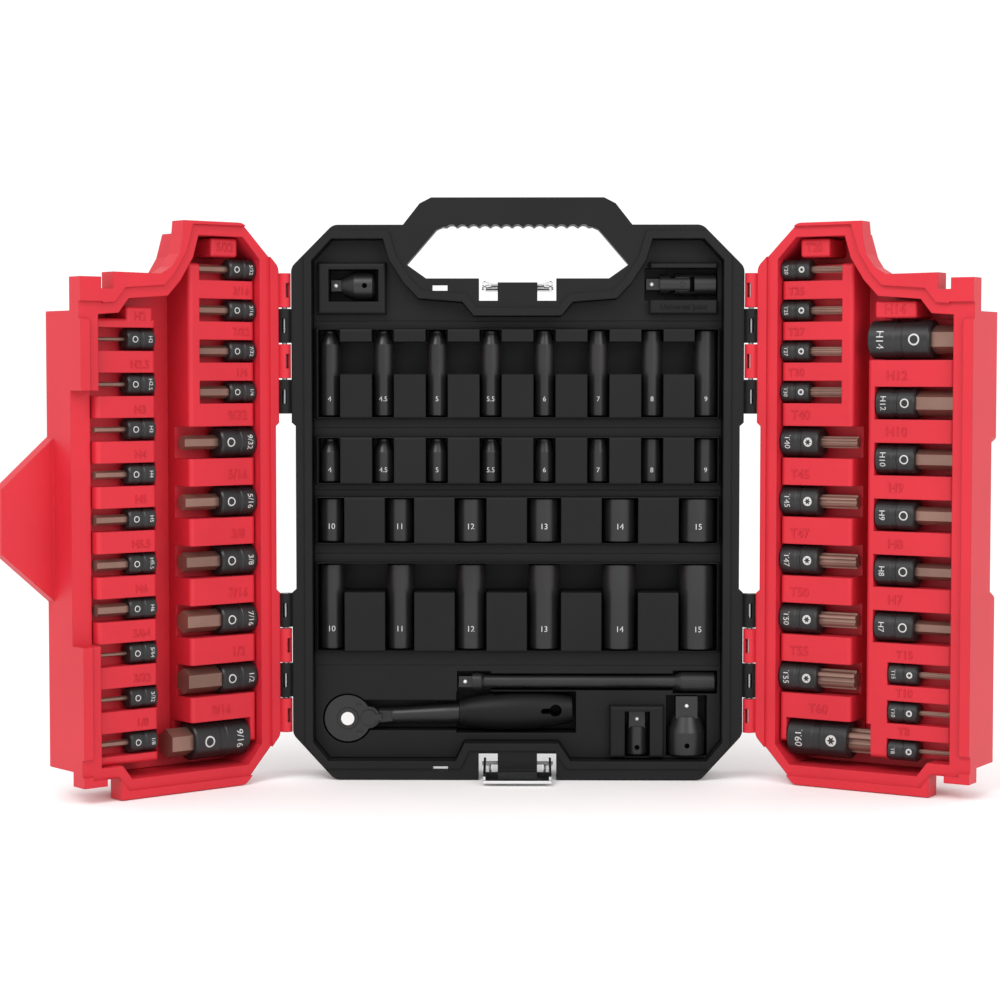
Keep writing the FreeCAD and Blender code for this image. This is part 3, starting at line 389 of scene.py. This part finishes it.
DECK_WORD_HIGH = 3.3
DECK_WORD_PLACE = (96.5, 4.5, 276.0)


def on_tray(x, y, z):
    """The place of a mark that faces out of the tray."""
    facing = Matrix(((1, 0, 0, 0), (0, 0, -1, 0), (0, 1, 0, 0), (0, 0, 0, 1)))
    return Matrix.Translation((x * MM, y * MM, z * MM)) @ facing


numbers = Marks("socket_size_numbers", "tray", PRINT, "black_steel")
for i, label in enumerate(SMALL_LABELS):
    x = (i - (len(SMALL_LABELS) - 1) / 2) * SMALL_PITCH
    radius = (SMALL_LAST_DIA if label == SMALL_LABELS[-1] else SMALL_DIA) / 2
    for low, above in SMALL_ROWS:
        numbers.add(glyphs(label, SMALL_HIGH, ETCHED), on_tray(x, SMALL_AXIS_Y - radius, low + above),
                    wrapped(radius * MM, 0))
for label, dia, x in LARGE_SOCKETS:
    radius = dia / 2
    for low, above in LARGE_ROWS:
        numbers.add(glyphs(label, LARGE_HIGH, ETCHED), on_tray(x, LARGE_AXIS_Y - radius, low + above),
                    wrapped(radius * MM, 0))
numbers.make()

# The word that is moulded into the deck under the swivel joint.
moulded = Marks("deck_word", "tray", BLACK, "black_plastic")
moulded.add(glyphs("Universal Joint", DECK_WORD_HIGH, RAISED), on_tray(*DECK_WORD_PLACE))
moulded.make()


# Detent balls of the square drives, sunk into the face that looks out of the tray.
BALL_RADIUS = 1.25
BALL_SUNK = 0.5


def detent(name, body, x, y, z):
    """A ball on the face at y of a square drive."""
    shape = bmesh.new()
    bmesh.ops.create_icosphere(shape, subdivisions=3, radius=BALL_RADIUS * MM)
    bmesh.ops.translate(shape, verts=shape.verts, vec=Vector((x, y + BALL_SUNK, z)) * MM)
    mesh = bpy.data.meshes.new(name)
    shape.to_mesh(mesh)
    shape.free()
    for face in mesh.polygons:
        face.use_smooth = True
    mesh.materials.append(BRIGHT)
    ball = placed(name, mesh)
    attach(ball, body)


detent("reducer_ball", "reducer", -106.2, 11.8, 288.6)
detent("swivel_ball", "swivel_drive", 78.2, 11.8, 289.4)
detent("extension_ball", "extension", -30.8, 11.8, 56.2)
detent("small_adapter_ball", "adapter_small", 70.3, 10.2, 34.6)
detent("large_adapter_ball", "adapter_large", 99.4, 8.65, 42.4)


# Stage: a plain pale floor, an even surround and two large soft lights, in metres.
FLOOR_CORNERS = ((-6, -4, 0), (6, -4, 0), (6, 8, 0), (-6, 8, 0))
FLOOR_DROP = 0.4 * MM
SURROUND = 1.08
AIM = (0, 0, 0.15)

floor_mesh = bpy.data.meshes.new("floor")
floor_mesh.from_pydata(FLOOR_CORNERS, [], [(0, 1, 2, 3)])
floor_mesh.materials.append(finish_of("floor_white", (0.95, 0.95, 0.95), 0.01, 0.8, grain=300, bump=0.02))
floor = placed("floor", floor_mesh)
floor.location.z = -FLOOR_DROP

world = bpy.data.worlds.new("surround")
world.use_nodes = True
background = world.node_tree.nodes["Background"]
background.inputs["Color"].default_value = (1, 1, 1, 1)
background.inputs["Strength"].default_value = SURROUND
bpy.context.scene.world = world


def soft_light(name, place, size, power):
    """A large lamp that looks at the case."""
    lamp = bpy.data.lights.new(name, "AREA")
    lamp.shape = "RECTANGLE"
    lamp.size, lamp.size_y = size
    lamp.energy = power
    holder = placed(name, lamp)
    holder.location = place
    holder.rotation_euler = (Vector(AIM) - Vector(place)).to_track_quat("-Z", "Y").to_euler()


soft_light("key", (-0.7, -1.3, 1.5), (1.0, 0.8), 16)
soft_light("fill", (0.9, -1.4, 0.9), (0.9, 0.9), 8)


# Camera: fitted to the photo; it looks slightly down and is turned slightly to the left.
CAMERA_PLACE = (0.0067, -1.410, 0.2374)
CAMERA_DOWN = 2.981
CAMERA_LEFT = 0.685

camera = bpy.data.cameras.new("camera")
camera.sensor_width = 36
camera.lens = 87.37
view = placed("camera", camera)
view.location = CAMERA_PLACE
view.rotation_euler = (math.radians(90 - CAMERA_DOWN), 0, math.radians(CAMERA_LEFT))
bpy.context.scene.camera = view
bpy.context.scene.view_settings.view_transform = "Standard"

bpy.context.view_layer.update()
